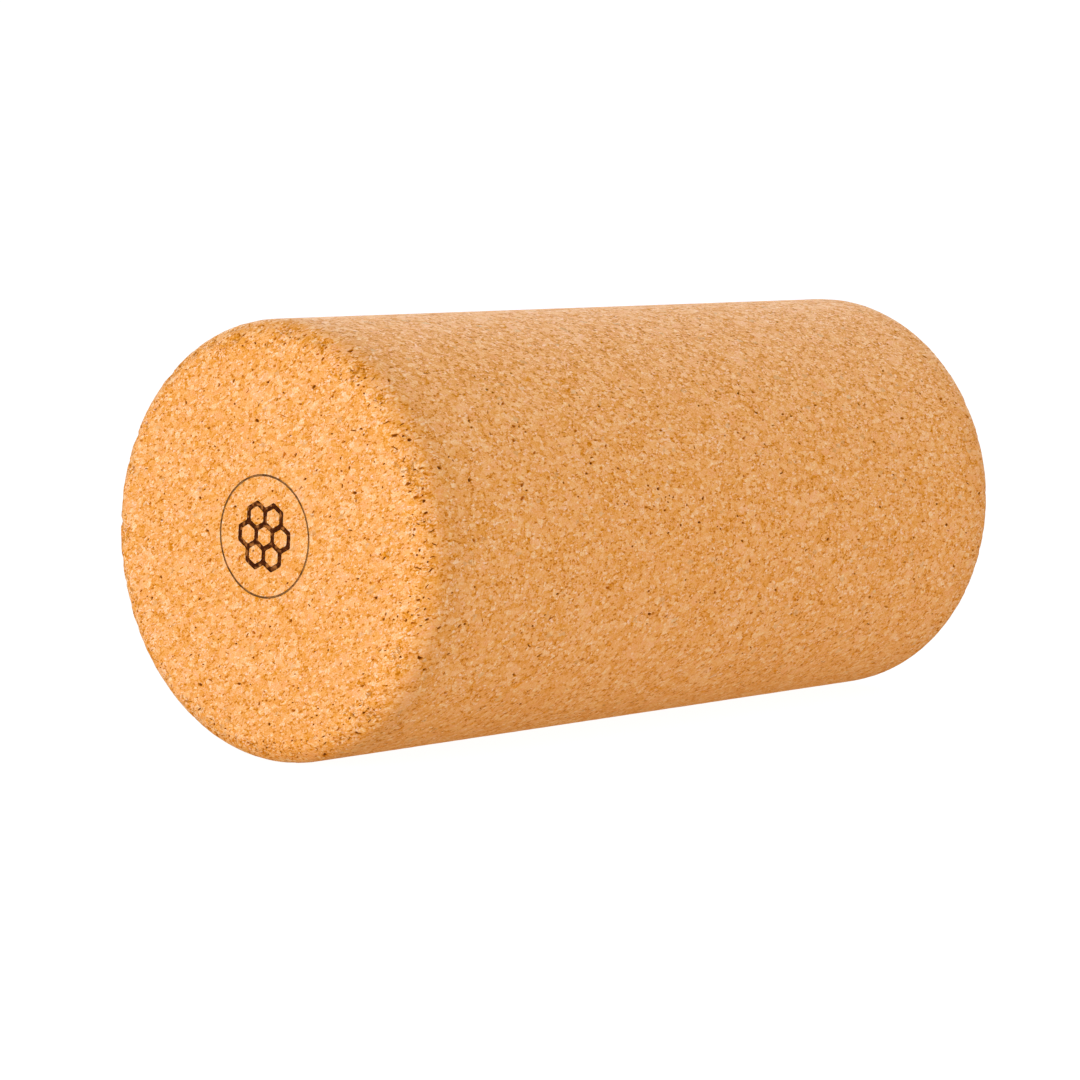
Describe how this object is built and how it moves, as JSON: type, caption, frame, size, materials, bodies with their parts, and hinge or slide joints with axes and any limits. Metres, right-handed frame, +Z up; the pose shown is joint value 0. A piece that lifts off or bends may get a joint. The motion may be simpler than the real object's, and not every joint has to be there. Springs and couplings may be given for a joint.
{
  "type": "cork roller",
  "caption": "Solid agglomerated cork roller with rounded rims, for balance, stretching and massage exercise, with a burnt ring and honeycomb mark on its end.",
  "frame": {"origin": "centre of the roller, halfway along its rolling axis", "axes": "+X along the rolling axis from the marked end to the plain end, +Z up with the roller lying on its side, +Y across the roller"},
  "size_m": [0.3, 0.14, 0.14],
  "materials": {
    "cork": "matt agglomerated cork, pressed granules of pale peach to orange with sparse dark brown pits",
    "char": "matt scorched cork"
  },
  "bodies": {
    "root": {"cork_body": "cork", "mark_ring": "char", "mark_motif": "char"}
  },
  "joints": []
}
